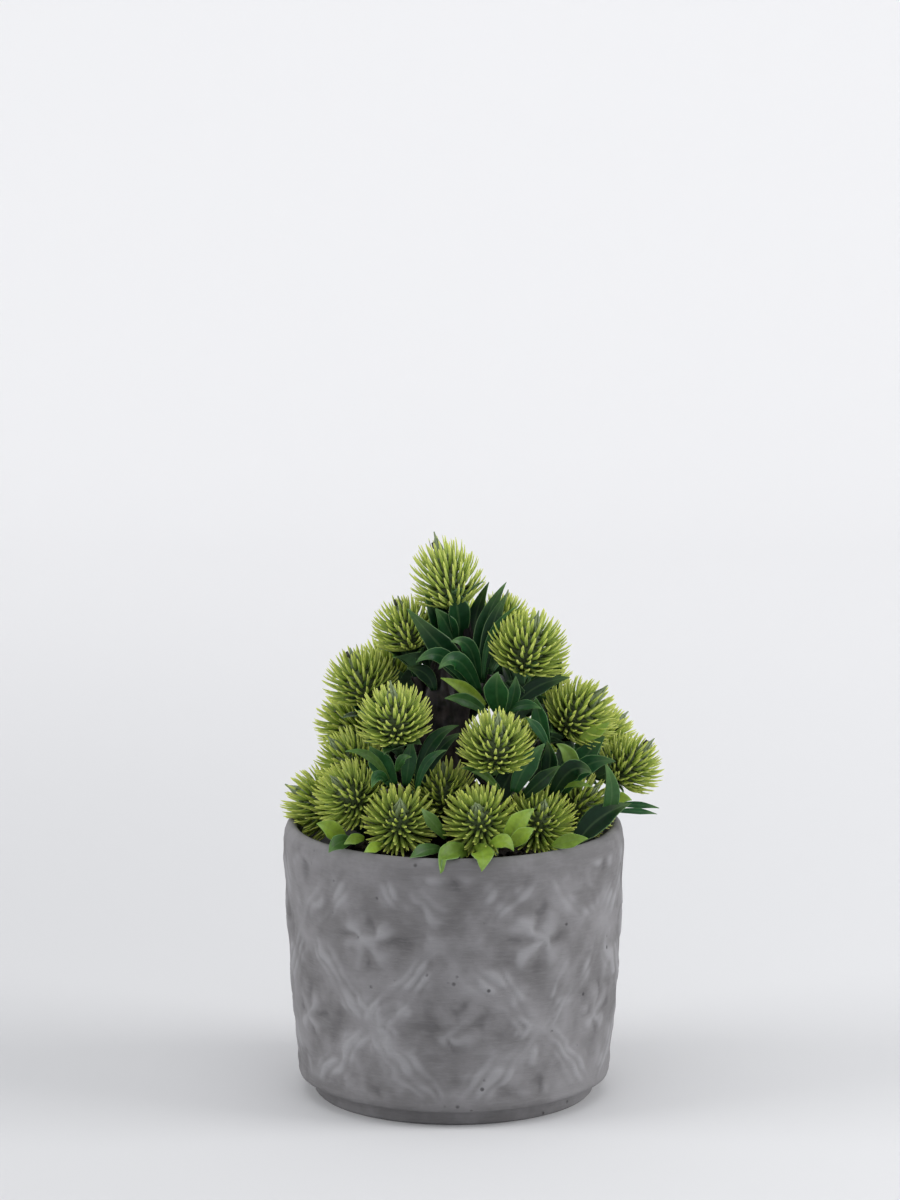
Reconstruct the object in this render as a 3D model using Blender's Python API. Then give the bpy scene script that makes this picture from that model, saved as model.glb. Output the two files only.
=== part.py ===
"""Artificial tabletop tree: cast pot, foam plug, moulded trunk and pull-out needle-head sprays."""
import math

import bpy
from mathutils import Matrix, Vector

# Pot, in metres. The profile points are shares of the pot's radius and height.
POT_RADIUS = 0.065
POT_HEIGHT = 0.105
POT_WALL = 0.0055
POT_FLOOR = 0.0095
POT_SIDES = 48
POT_PROFILE = [
    (0.800, 0.000), (0.820, 0.010), (0.820, 0.057), (0.888, 0.060), (0.910, 0.071),
    (0.919, 0.100), (0.925, 0.170), (0.937, 0.260), (0.954, 0.388), (0.966, 0.511),
    (0.976, 0.635), (0.986, 0.756), (1.000, 0.876), (0.999, 0.950), (0.986, 0.984),
]
LIP_SHARE = 0.965
CLEARANCE = 0.0003

# Filling inside the pot.
FOAM_DEPTH = 0.0242
GROUND_DEPTH = 0.0158
GROUND_RIM_DROP = 0.0015

# Trunk, its steel core and its arms.
TRUNK_SIDES = 12
TRUNK_RADIUS = 0.0060
STAKE_RADIUS = 0.0048
STAKE_LIFT = 0.0136
TRUNK_TOP = 0.072
CORE_RADIUS = 0.0012
CORE_REACH = 0.008
# Whorl heights and the trunk's offset are for a pot of MODEL_RADIUS, and follow the pot.
MODEL_RADIUS = 0.065
WHORL_HEIGHTS = [-0.006, 0.021, 0.046, 0.067]
TRUNK_OFFSET = -0.004
ARM_SIDES = 6
ARM_WALL = 0.0009
SOCKET_DEPTH = 0.0065
ELBOW_DROP = 0.0092
ROOT_INSET = 0.0022

# Sprays.
PEG_RADIUS = 0.0013
STEM_RADIUS = 0.0017
SPIGOT_LENGTH = 0.0050
HEAD_RADIUS = 0.0121
HEAD_BASE = 0.0100
BUD_HEIGHT = 0.0165
HEAD_SIDES = 12
LEAF_WIDTH = 0.0074
LEAF_THICKNESS = 0.0007
LEAF_CURL = 0.7
LEAF_ROOT_HEIGHT = 0.0012
STEM_NECK = 0.0008

# One row per spray, for a pot of MODEL_RADIUS: whorl, head centre in millimetres from the middle of
# the rim plane, direction the head points, stem length, roll of the stem, leaf length, lean of the
# leaves. Roll and lean are in degrees.
SPRAYS = [
    (3, (-3, -8, 100), (-0.30, 0.00, 0.95), 12, 60, 15, 45),
    (2, (-20, -5, 79), (-0.26, -0.10, 0.96), 13, 36, 17, 38),
    (1, (29, -20, 75), (0.22, -0.20, 0.95), 24, 24, 19, 38),
    (1, (-39, -3, 60), (-0.45, -0.08, 0.89), 18, 96, 15, 38),
    (1, (-26, 20, 59), (-0.30, 0.45, 0.84), 18, 96, 17, 38),
    (0, (-46, 18, 36), (-0.74, 0.30, 0.60), 22, 36, 11, 38),
    (1, (-25, -38, 53), (-0.20, -0.45, 0.87), 15, 0, 25, 45),
    (0, (-43, -8, 30), (-0.75, -0.18, 0.63), 16, 72, 13, 38),
    (0, (-43, -30, 17), (-0.68, -0.62, 0.38), 14, 72, 17, 38),
    (0, (-47, 4, 6), (-0.76, 0.12, 0.64), 7, 96, 15, 45),
    (0, (-22, -43, 12), (-0.22, -0.85, 0.48), 9, 0, 15, 38),
    (0, (10, -46, 13), (0.12, -0.88, 0.46), 9, 48, 15, 38),
    (0, (35, -33, 9), (0.52, -0.77, 0.36), 9, 48, 15, 38),
    (0, (48, -13, 9), (0.70, -0.58, 0.42), 8, 0, 15, 45),
    (1, (16, -40, 42), (0.15, -0.55, 0.82), 14, 108, 14, 38),
    (1, (50, -17, 48), (0.66, -0.34, 0.67), 15, 48, 22, 45),
    (0, (69, -3, 26), (0.90, -0.20, 0.38), 16, 48, 7, 38),
    (0, (-4, -26, 18), (0.05, -0.45, 0.89), 7, 72, 13, 45),
    (2, (19, 3, 81), (0.25, 0.15, 0.96), 15, 12, 15, 38),
    (0, (57, 21, 28), (0.76, 0.40, 0.51), 18, 12, 19, 38),
    (2, (0, 22, 75), (0.00, 0.45, 0.89), 12, 48, 22, 38),
    (1, (34, 24, 53), (0.55, 0.45, 0.70), 16, 72, 25, 45),
    (1, (0, 42, 47), (0.00, 0.75, 0.66), 14, 108, 25, 45),
    (0, (-34, 37, 32), (-0.52, 0.64, 0.56), 18, 108, 11, 38),
    (0, (30, 44, 21), (0.47, 0.72, 0.51), 16, 0, 25, 45),
    (0, (-40, 27, 8), (-0.65, 0.45, 0.61), 7, 48, 15, 45),
    (0, (-10, 47, 10), (-0.15, 0.90, 0.41), 9, 72, 25, 45),
]


def material(name, colour, roughness, metallic=0.0):
    found = bpy.data.materials.new(name)
    found.use_nodes = True
    shader = found.node_tree.nodes["Principled BSDF"]
    shader.inputs["Base Color"].default_value = (*colour, 1.0)
    shader.inputs["Roughness"].default_value = roughness
    shader.inputs["Metallic"].default_value = metallic
    return found


def add_object(name, vertices, faces, colour, roughness, metallic=0.0, smooth=True):
    mesh = bpy.data.meshes.new(name)
    mesh.from_pydata([tuple(v) for v in vertices], [], faces)
    mesh.update()
    mesh.validate()
    for face in mesh.polygons:
        face.use_smooth = smooth
    body = bpy.data.objects.new(name, mesh)
    bpy.context.collection.objects.link(body)
    mesh.materials.append(material(name, colour, roughness, metallic))
    return body


def turned(profile, sides):
    """Closed body of revolution; the profile starts and ends on the axis."""
    vertices = [Vector((0.0, 0.0, profile[0][1]))]
    for radius, height in profile[1:-1]:
        for k in range(sides):
            angle = 2.0 * math.pi * (k + 0.5) / sides
            vertices.append(Vector((radius * math.cos(angle), radius * math.sin(angle), height)))
    vertices.append(Vector((0.0, 0.0, profile[-1][1])))
    last = len(vertices) - 1
    faces = []
    for k in range(sides):
        after = (k + 1) % sides
        faces.append((0, 1 + after, 1 + k))
        for ring in range(len(profile) - 3):
            low = 1 + ring * sides
            high = low + sides
            faces.append((low + k, low + after, high + after, high + k))
        top = 1 + (len(profile) - 3) * sides
        faces.append((top + k, top + after, last))
    return vertices, faces


def turned_ring(profile, sides):
    """Closed ring of revolution; the profile is a loop that never touches the axis."""
    vertices = []
    for radius, height in profile:
        for k in range(sides):
            angle = 2.0 * math.pi * (k + 0.5) / sides
            vertices.append(Vector((radius * math.cos(angle), radius * math.sin(angle), height)))
    faces = []
    rings = len(profile)
    for ring in range(rings):
        low = ring * sides
        high = ((ring + 1) % rings) * sides
        for k in range(sides):
            after = (k + 1) % sides
            faces.append((low + k, low + after, high + after, high + k))
    return vertices, faces


def outer_radius(height):
    share = height / POT_HEIGHT
    for (r0, z0), (r1, z1) in zip(POT_PROFILE, POT_PROFILE[1:]):
        if z0 <= share <= z1 and z1 > z0:
            return POT_RADIUS * (r0 + (r1 - r0) * (share - z0) / (z1 - z0))
    return POT_RADIUS * POT_PROFILE[-1][0]


INNER_LEVELS = [0.17, 0.388, 0.635, 0.756, 0.876, 0.950]


def inner_points():
    """Inner wall of the pot from the floor up, as radius and height."""
    levels = [POT_HEIGHT * share for share in INNER_LEVELS]
    floor_radius = outer_radius(levels[0]) - POT_WALL * 1.25
    points = [(floor_radius - 0.003, POT_FLOOR), (floor_radius, POT_FLOOR + 0.003)]
    points += [(outer_radius(z) - POT_WALL, z) for z in levels]
    return points


def inner_radius(height):
    points = inner_points()
    for (r0, z0), (r1, z1) in zip(points, points[1:]):
        if z0 <= height <= z1:
            return r0 + (r1 - r0) * (height - z0) / (z1 - z0)
    return points[-1][0]


def build_pot():
    outer = [(r * POT_RADIUS, z * POT_HEIGHT) for r, z in POT_PROFILE]
    inner = inner_points()
    lip_outer = POT_RADIUS * LIP_SHARE
    lip_inner = inner[-1][0] + POT_WALL * 0.22
    rounded = (inner[-1][0] + 0.0002, POT_HEIGHT * 0.984)
    profile = [(0.0, 0.0)] + outer + [(lip_outer, POT_HEIGHT), (lip_inner, POT_HEIGHT), rounded]
    profile += list(reversed(inner)) + [(0.0, POT_FLOOR)]
    vertices, faces = turned(profile, POT_SIDES)
    add_object("pot", vertices, faces, (0.17, 0.17, 0.175), 0.9)


def build_filling():
    """Foam plug with a stepped bore for the stake, and the ground layer on top of it."""
    foam_top = POT_HEIGHT - FOAM_DEPTH
    ground_top = POT_HEIGHT - GROUND_DEPTH
    stake_bottom = POT_FLOOR + STAKE_LIFT
    core_bottom = stake_bottom - CORE_REACH
    points = inner_points()
    wall = [(r - CLEARANCE, z + CLEARANCE) for r, z in points[:2]]
    wall += [(r - CLEARANCE, z) for r, z in points[2:] if z < foam_top - 0.001]
    foam_rim = (inner_radius(foam_top) - CLEARANCE, foam_top)
    bore = STAKE_RADIUS + CLEARANCE
    core_bore = CORE_RADIUS + CLEARANCE
    profile = [(0.0, POT_FLOOR + CLEARANCE)] + wall + [foam_rim]
    profile += [(bore, foam_top), (bore, stake_bottom - CLEARANCE)]
    profile += [(core_bore, stake_bottom - CLEARANCE), (core_bore, core_bottom - CLEARANCE)]
    profile += [(0.0, core_bottom - CLEARANCE)]
    vertices, faces = turned(profile, POT_SIDES)
    # The bore follows the trunk, which stands a little off the middle.
    shift = TRUNK_OFFSET * plant_unit()
    first_bore = 1 + (len(wall) + 1) * POT_SIDES
    for k in range(first_bore, len(vertices)):
        vertices[k].x += shift
    add_object("foam_plug", vertices, faces, (0.10, 0.22, 0.10), 0.95)

    low = foam_top + CLEARANCE
    rim_low = inner_radius(low) - CLEARANCE
    rim_high = inner_radius(ground_top - GROUND_RIM_DROP) - CLEARANCE
    profile = [
        (bore, low), (rim_low, low), (rim_high, ground_top - GROUND_RIM_DROP),
        (rim_high * 0.7, ground_top - GROUND_RIM_DROP * 0.3), (bore * 2.5, ground_top),
        (bore, ground_top),
    ]
    vertices, faces = turned_ring(profile, POT_SIDES)
    for k, vertex in enumerate(vertices):
        if k // POT_SIDES in (0, 4, 5):
            vertex.x += shift
    add_object("ground_cover", vertices, faces, (0.025, 0.02, 0.016), 0.95)


def plant_unit():
    """Plan scale of the plant, tied to the pot it fills."""
    return POT_RADIUS / MODEL_RADIUS


def spray_frame(row):
    """Head centre, stem direction, socket mouth and side vectors of one spray."""
    unit = plant_unit() * 0.001
    centre = Vector(row[1]) * unit + Vector((0.0, 0.0, POT_HEIGHT))
    along = Vector(row[2]).normalized()
    mouth = centre - along * (HEAD_BASE + row[3] * unit)
    side = along.cross(Vector((0.0, 0.0, 1.0))).normalized()
    side = Matrix.Rotation(math.radians(row[4]), 3, along) @ side
    return centre, along, mouth, side, along.cross(side)


def cut_through(points, direction, plane_point, plane_normal):
    """Slide each point along the direction until it meets the plane."""
    moved = []
    for point in points:
        gap = (plane_point - point).dot(plane_normal)
        moved.append(point + direction * (gap / direction.dot(plane_normal)))
    return moved


def arm_mesh(row):
    """Bent arm from inside the trunk to the mouth of its blind socket."""
    unit = plant_unit()
    centre, along, mouth, side, across = spray_frame(row)
    bore = PEG_RADIUS + CLEARANCE
    outer = bore + ARM_WALL
    elbow = mouth - along * ELBOW_DROP
    root = Vector((TRUNK_OFFSET * unit, 0.0, POT_HEIGHT + WHORL_HEIGHTS[row[0]] * unit))
    level = Vector((elbow.x - root.x, elbow.y - root.y, 0.0)).normalized()
    root += level * (CORE_RADIUS + CLEARANCE + ROOT_INSET)
    branch = (elbow - root).normalized()

    def ring(radius, at):
        turns = [2.0 * math.pi * (k + 0.5) / ARM_SIDES for k in range(ARM_SIDES)]
        return [at + (side * math.cos(t) + across * math.sin(t)) * radius for t in turns]

    mouth_ring = ring(outer, mouth)
    elbow_ring = cut_through(mouth_ring, along, elbow, (along + branch).normalized())
    root_ring = cut_through(elbow_ring, branch, root, branch)
    bore_top = ring(bore, mouth)
    bore_bottom = ring(bore, mouth - along * SOCKET_DEPTH)
    rings = [root_ring, elbow_ring, mouth_ring, bore_top, bore_bottom]
    vertices = [point for one in rings for point in one]
    faces = [tuple(reversed(range(ARM_SIDES)))]
    for k in range(len(rings) - 1):
        for j in range(ARM_SIDES):
            after = (j + 1) % ARM_SIDES
            low = k * ARM_SIDES
            high = low + ARM_SIDES
            faces.append((low + j, low + after, high + after, high + j))
    faces.append(tuple(range(4 * ARM_SIDES, 5 * ARM_SIDES)))
    return vertices, faces


def join_by_union(base, name, vertices, faces):
    """Union one closed mesh into the base object and drop the cutter."""
    mesh = bpy.data.meshes.new(name)
    mesh.from_pydata([tuple(v) for v in vertices], [], faces)
    mesh.update()
    tool = bpy.data.objects.new(name, mesh)
    bpy.context.collection.objects.link(tool)
    tool.hide_render = True
    tool.display_type = "WIRE"
    step = base.modifiers.new(name, "BOOLEAN")
    step.operation = "UNION"
    step.solver = "EXACT"
    step.object = tool
    bpy.context.view_layer.update()
    graph = bpy.context.evaluated_depsgraph_get()
    merged = bpy.data.meshes.new_from_object(base.evaluated_get(graph))
    base.modifiers.clear()
    base.data = merged
    bpy.data.objects.remove(tool, do_unlink=True)


def build_trunk():
    unit = plant_unit()
    stake_bottom = POT_FLOOR + STAKE_LIFT
    ground_top = POT_HEIGHT - GROUND_DEPTH
    top = POT_HEIGHT + TRUNK_TOP * unit
    bore = CORE_RADIUS + CLEARANCE
    core_top = POT_HEIGHT + WHORL_HEIGHTS[-1] * unit - 0.004
    profile = [
        (0.0, core_top + CLEARANCE), (bore, core_top + CLEARANCE), (bore, stake_bottom),
        (STAKE_RADIUS - 0.0006, stake_bottom), (STAKE_RADIUS, stake_bottom + 0.001),
        (STAKE_RADIUS, ground_top + CLEARANCE), (TRUNK_RADIUS, ground_top + 0.0012),
        (TRUNK_RADIUS * 0.98, POT_HEIGHT + WHORL_HEIGHTS[2] * unit),
        (TRUNK_RADIUS * 0.80, POT_HEIGHT + WHORL_HEIGHTS[3] * unit),
        (TRUNK_RADIUS * 0.66, top - 0.0012), (TRUNK_RADIUS * 0.45, top), (0.0, top),
    ]
    vertices, faces = turned(profile, TRUNK_SIDES)
    for vertex in vertices:
        vertex.x += TRUNK_OFFSET * unit
    trunk = add_object("trunk", vertices, faces, (0.03, 0.018, 0.014), 0.45)
    for number, row in enumerate(SPRAYS, 1):
        arm_vertices, arm_faces = arm_mesh(row)
        join_by_union(trunk, f"arm_{number:02d}", arm_vertices, arm_faces)
    for face in trunk.data.polygons:
        face.use_smooth = False

    low = stake_bottom - CORE_REACH
    profile = [
        (0.0, low), (CORE_RADIUS, low), (CORE_RADIUS, core_top), (0.0, core_top),
    ]
    vertices, faces = turned(profile, 8)
    for vertex in vertices:
        vertex.x += TRUNK_OFFSET * unit
    add_object("trunk_core", vertices, faces, (0.35, 0.35, 0.36), 0.4, 1.0)


def leaf_stations(length, lean, curl):
    """Middle points, directions and width shares along a leaf that bends outward."""
    shares = [0.42, 0.78, 1.0]
    widths = [1.0, 0.78, 0.10]
    stations = []
    out, up, angle, before = 0.0, 0.0, lean, 0.0
    for share, width in zip(shares, widths):
        middle = lean + curl * (share + before) * 0.5
        out += math.sin(middle) * length * (share - before)
        up += math.cos(middle) * length * (share - before)
        angle = lean + curl * share
        stations.append((out, up, angle, width))
        before = share
    return stations


def build_stem(name, row, unit):
    """Peg, stem, leaves and spigot in one moulding, along local z from the socket mouth."""
    sides = 6
    length = row[3] * unit
    peg_bottom = CLEARANCE - SOCKET_DEPTH
    lower = CLEARANCE + LEAF_ROOT_HEIGHT
    height = LEAF_ROOT_HEIGHT
    upper = lower + max(height + CLEARANCE / 2.0, (length - SPIGOT_LENGTH - STEM_NECK) * 0.62)
    rings = [
        (PEG_RADIUS, peg_bottom), (PEG_RADIUS, CLEARANCE), (STEM_RADIUS, CLEARANCE),
        (STEM_RADIUS, lower), (STEM_RADIUS, lower + height),
        (STEM_RADIUS, upper), (STEM_RADIUS, upper + height),
        (STEM_RADIUS, length - CLEARANCE), (PEG_RADIUS, length - CLEARANCE),
        (PEG_RADIUS, length + SPIGOT_LENGTH - CLEARANCE),
    ]
    vertices = []
    for radius, z in rings:
        for k in range(sides):
            turn = 2.0 * math.pi * (k + 0.5) / sides
            vertices.append(Vector((radius * math.cos(turn), radius * math.sin(turn), z)))
    faces = [tuple(reversed(range(sides)))]
    leafy = {(3, 0), (3, 2), (3, 4), (5, 1), (5, 3), (5, 5)}
    for ring in range(len(rings) - 1):
        for k in range(sides):
            after = (k + 1) % sides
            low = ring * sides
            high = low + sides
            face = (low + k, low + after, high + after, high + k)
            if (ring, k) not in leafy:
                faces.append(face)
                continue
            size = row[5] * unit * (1.0 if ring == 3 else 0.85)
            lean = math.radians(row[6] - (0.0 if ring == 3 else 6.0))
            turn = 2.0 * math.pi * (k + 1.0) / sides
            outward = Vector((math.cos(turn), math.sin(turn), 0.0))
            across = Vector((-math.sin(turn), math.cos(turn), 0.0))
            middle = sum((vertices[i] for i in face), Vector()) / 4.0
            previous = face
            for out, up, angle, share in leaf_stations(size, lean, LEAF_CURL):
                centre = middle + outward * out + Vector((0.0, 0.0, up))
                lift = Vector((0.0, 0.0, 1.0)) * math.sin(angle) - outward * math.cos(angle)
                half = across * (LEAF_WIDTH * share * 0.5)
                thin = lift * (LEAF_THICKNESS * 0.5)
                first = len(vertices)
                vertices += [
                    centre - half - thin, centre + half - thin,
                    centre + half + thin, centre - half + thin,
                ]
                station = (first, first + 1, first + 2, first + 3)
                for j in range(4):
                    after_j = (j + 1) % 4
                    faces.append((previous[j], previous[after_j], station[after_j], station[j]))
                previous = station
            faces.append(previous)
    top = (len(rings) - 1) * sides
    faces.append(tuple(range(top, top + sides)))
    return add_object(name, vertices, faces, (0.02, 0.10, 0.035), 0.45, smooth=False)


def build_head(name, row, unit):
    """Needle ball with staggered needle tips, a bud on top and a blind bore for the spigot."""
    length = row[3] * unit
    base = length + CLEARANCE * 0.5
    middle = length + HEAD_BASE
    bore = PEG_RADIUS + CLEARANCE
    steps = [-42, -8, 26, 60]
    vertices = []
    faces = []
    for ring, step in enumerate(steps):
        for k in range(HEAD_SIDES):
            tip = (ring + k) % 2 == 0
            lift = math.radians(step + (9 if tip else 0))
            reach = HEAD_RADIUS * (1.0 if tip else 0.80)
            if ring == 0 and not tip:
                reach = HEAD_RADIUS * 0.86
            turn = 2.0 * math.pi * k / HEAD_SIDES
            level = Vector((math.cos(turn), math.sin(turn), 0.0)) * (reach * math.cos(lift))
            vertices.append(level + Vector((0.0, 0.0, middle + reach * math.sin(lift))))
    for ring in range(len(steps) - 1):
        for k in range(HEAD_SIDES):
            after = (k + 1) % HEAD_SIDES
            low = ring * HEAD_SIDES
            high = low + HEAD_SIDES
            a, b, c, d = low + k, low + after, high + after, high + k
            if (ring + k) % 2 == 0:
                faces += [(a, b, c), (a, c, d)]
            else:
                faces += [(a, b, d), (b, c, d)]
    bud = len(vertices)
    vertices.append(Vector((0.0, 0.0, middle + BUD_HEIGHT)))
    top = (len(steps) - 1) * HEAD_SIDES
    for k in range(HEAD_SIDES):
        faces.append((top + k, top + (k + 1) % HEAD_SIDES, bud))

    collar = len(vertices)
    rings = [(bore + 0.0016, base), (bore, base), (bore, base + SPIGOT_LENGTH)]
    for radius, z in rings:
        for k in range(6):
            turn = 2.0 * math.pi * (k + 0.5) / 6
            vertices.append(Vector((radius * math.cos(turn), radius * math.sin(turn), z)))
    for k in range(6):
        near, after = collar + k, collar + (k + 1) % 6
        one, two, three = 2 * k, 2 * k + 1, (2 * k + 2) % HEAD_SIDES
        faces += [(near, two, one), (near, three, two), (near, after, three)]
        for ring in range(2):
            low = collar + ring * 6
            high = low + 6
            faces.append((low + k, high + k, high + (k + 1) % 6, low + (k + 1) % 6))
    end = collar + 12
    faces.append(tuple(reversed(range(end, end + 6))))
    flipped = [tuple(face) for face in faces]
    return add_object(name, vertices, flipped, (0.30, 0.50, 0.06), 0.55, smooth=False)


def build_sprays():
    unit = plant_unit() * 0.001
    for number, row in enumerate(SPRAYS, 1):
        centre, along, mouth, side, across = spray_frame(row)
        turn = Matrix((side, across, along)).transposed().to_4x4()
        place = Matrix.Translation(mouth) @ turn
        anchor = bpy.data.objects.new(f"spray_{number:02d}_axis", None)
        bpy.context.collection.objects.link(anchor)
        anchor.location = mouth
        anchor.rotation_euler = place.to_euler()
        stem = build_stem(f"spray_{number:02d}_stem", row, unit)
        head = build_head(f"spray_{number:02d}_head", row, unit)
        stem.parent = anchor
        head.parent = anchor
        head.rotation_euler.z = -math.radians(row[4])


def main():
    for old in list(bpy.data.objects):
        bpy.data.objects.remove(old, do_unlink=True)
    build_pot()
    build_filling()
    build_trunk()
    build_sprays()


main()
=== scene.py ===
import math
import random

import bpy
import numpy as np
from mathutils import Matrix, Vector

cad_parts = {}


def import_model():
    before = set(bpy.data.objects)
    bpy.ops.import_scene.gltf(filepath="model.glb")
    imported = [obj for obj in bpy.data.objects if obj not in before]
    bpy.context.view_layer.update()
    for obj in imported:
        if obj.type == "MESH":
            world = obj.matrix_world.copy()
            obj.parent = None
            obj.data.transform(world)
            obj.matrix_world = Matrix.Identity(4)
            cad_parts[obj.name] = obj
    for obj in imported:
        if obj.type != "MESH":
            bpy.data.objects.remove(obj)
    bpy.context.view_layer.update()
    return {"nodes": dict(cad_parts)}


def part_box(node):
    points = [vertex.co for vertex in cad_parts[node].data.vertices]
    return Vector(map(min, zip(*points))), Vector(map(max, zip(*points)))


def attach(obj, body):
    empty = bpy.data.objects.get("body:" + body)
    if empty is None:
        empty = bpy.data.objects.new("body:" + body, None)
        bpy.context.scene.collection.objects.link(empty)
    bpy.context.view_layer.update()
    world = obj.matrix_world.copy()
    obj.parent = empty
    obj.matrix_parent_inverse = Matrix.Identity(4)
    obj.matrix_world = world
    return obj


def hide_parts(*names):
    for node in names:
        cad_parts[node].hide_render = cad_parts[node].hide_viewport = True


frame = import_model()

MM = 0.001
RIM = 105.0
TRUNK_X = -4.0
GROUND = RIM - 15.8

# One row per spray, in millimetres from the middle of the rim plane: whorl, head centre, stem
# direction, stem length, head direction and head size.
SPRAYS = [
    (3, (-3, -8, 100), (-0.30, 0.00, 0.95), 12, (-0.26, 0.10, 0.96), 0.97),
    (2, (-20, -5, 79), (-0.26, -0.10, 0.96), 13, (-0.25, 0.00, 0.97), 0.96),
    (1, (29, -20, 75), (0.22, -0.20, 0.95), 24, (0.24, -0.22, 0.94), 1.10),
    (1, (-39, -3, 60), (-0.45, -0.08, 0.89), 18, (-0.30, -0.05, 0.95), 1.00),
    (1, (-26, 20, 59), (-0.30, 0.45, 0.84), 18, (-0.20, 0.45, 0.87), 1.00),
    (0, (-46, 18, 36), (-0.74, 0.30, 0.60), 22, (-0.80, 0.30, 0.52), 0.96),
    (1, (-25, -38, 53), (-0.20, -0.45, 0.87), 15, (-0.10, -0.25, 0.96), 1.02),
    (0, (-43, -8, 30), (-0.75, -0.18, 0.63), 16, (-0.60, -0.25, 0.76), 0.98),
    (0, (-43, -30, 17), (-0.68, -0.62, 0.38), 14, (-0.52, -0.55, 0.65), 1.00),
    (0, (-47, 4, 6), (-0.76, 0.12, 0.64), 7, (-0.86, -0.10, 0.50), 1.08),
    (0, (-22, -43, 12), (-0.22, -0.85, 0.48), 9, (0.02, -0.72, 0.69), 1.00),
    (0, (10, -46, 13), (0.12, -0.88, 0.46), 9, (-0.12, -0.74, 0.66), 1.02),
    (0, (35, -33, 9), (0.52, -0.77, 0.36), 9, (0.16, -0.62, 0.77), 1.00),
    (0, (48, -13, 9), (0.70, -0.58, 0.42), 8, (0.55, -0.40, 0.73), 0.98),
    (1, (16, -40, 42), (0.15, -0.55, 0.82), 14, (0.06, -0.30, 0.95), 1.03),
    (1, (50, -17, 48), (0.66, -0.34, 0.67), 15, (0.62, -0.30, 0.72), 1.04),
    (0, (69, -3, 26), (0.90, -0.20, 0.38), 16, (0.66, -0.05, 0.75), 0.92),
    (0, (-4, -26, 18), (0.05, -0.45, 0.89), 7, (0.00, -0.20, 0.98), 0.92),
    (2, (19, 3, 81), (0.25, 0.15, 0.96), 15, (0.20, 0.15, 0.97), 0.84),
    (0, (57, 21, 28), (0.76, 0.40, 0.51), 18, (0.70, 0.40, 0.60), 0.98),
    (2, (0, 22, 75), (0.00, 0.45, 0.89), 12, (0.00, 0.40, 0.92), 0.98),
    (1, (34, 24, 53), (0.55, 0.45, 0.70), 16, (0.50, 0.50, 0.71), 1.00),
    (1, (0, 42, 47), (0.00, 0.75, 0.66), 14, (0.00, 0.65, 0.76), 1.00),
    (0, (-34, 37, 32), (-0.52, 0.64, 0.56), 18, (-0.50, 0.60, 0.62), 1.00),
    (0, (30, 44, 21), (0.47, 0.72, 0.51), 16, (0.45, 0.66, 0.60), 1.00),
    (0, (-40, 27, 8), (-0.65, 0.45, 0.61), 7, (-0.62, 0.45, 0.64), 0.96),
    (0, (-10, 47, 10), (-0.15, 0.90, 0.41), 9, (-0.15, 0.75, 0.64), 1.00),
]
WHORLS = [-6, 21, 46, 67]

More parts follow.
